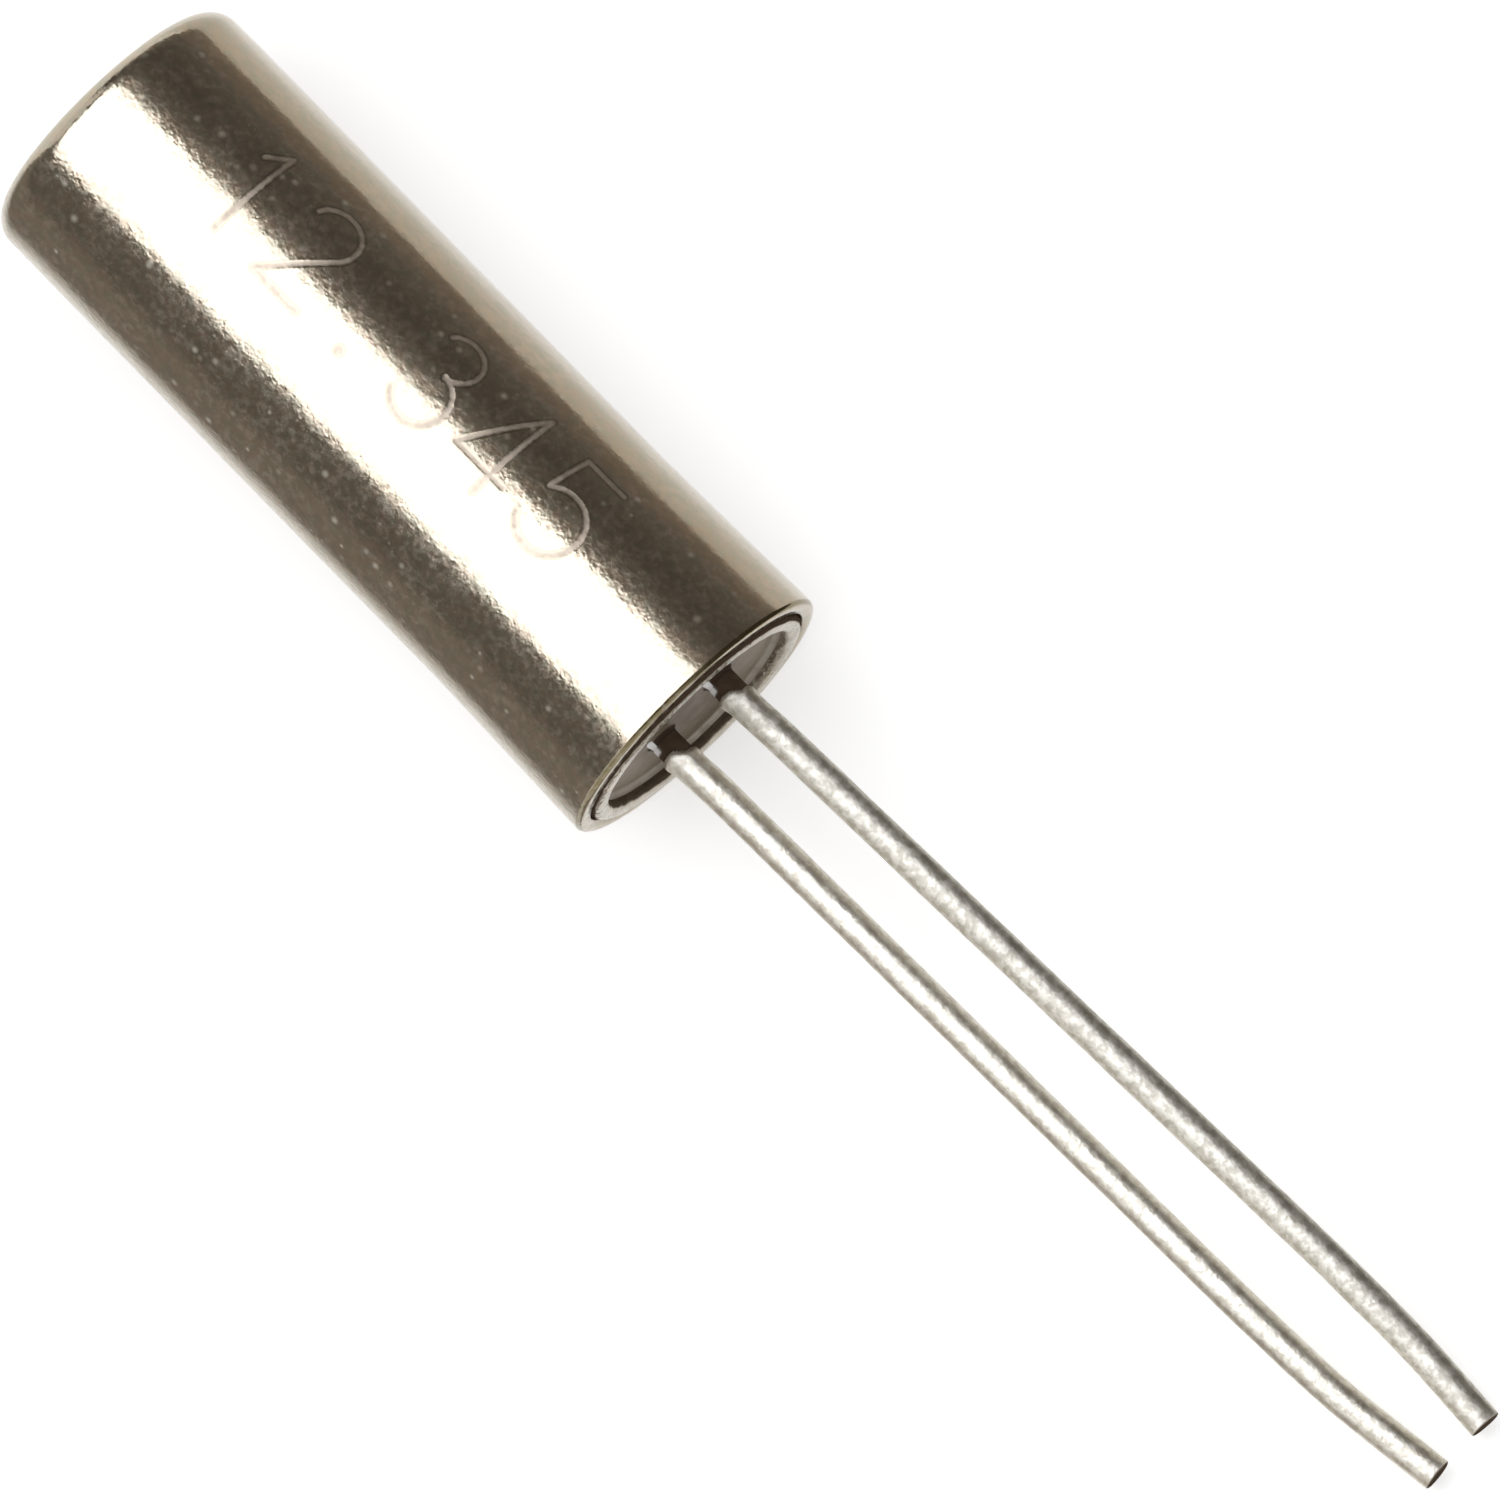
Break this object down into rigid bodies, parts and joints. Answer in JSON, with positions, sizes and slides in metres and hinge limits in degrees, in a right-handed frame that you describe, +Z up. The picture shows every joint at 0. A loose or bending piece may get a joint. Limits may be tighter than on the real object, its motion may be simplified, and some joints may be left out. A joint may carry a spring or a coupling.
{
  "type": "cylindrical quartz crystal",
  "caption": "Watch-type quartz crystal in a drawn cylindrical metal can with a glass-sealed header and slim wire leads, lying on its side.",
  "frame": {"origin": "centre of the overall box at its underside, on the surface that the part lies on", "axes": "+X along the can from its closed end out along the leads, +Y to the side of the right-hand lead, +Z up from the surface that the part lies on"},
  "size_m": [0.0182, 0.003, 0.0031],
  "materials": {
    "can_metal": "bright drawn nickel silver with fine pits",
    "ring_metal": "tinned, soft sheen",
    "seal_glass": "opaque dark glossy glass",
    "lead_metal": "dipped in solder, slightly uneven",
    "quartz": "polished clear quartz",
    "solder": "satin solder"
  },
  "bodies": {
    "root": {"can": "can_metal", "header_ring": "ring_metal", "glass_seal": "seal_glass", "lead_left": "lead_metal", "lead_right": "lead_metal", "quartz_fork": "quartz", "solder_joint_left": "solder", "solder_joint_right": "solder"}
  },
  "joints": []
}
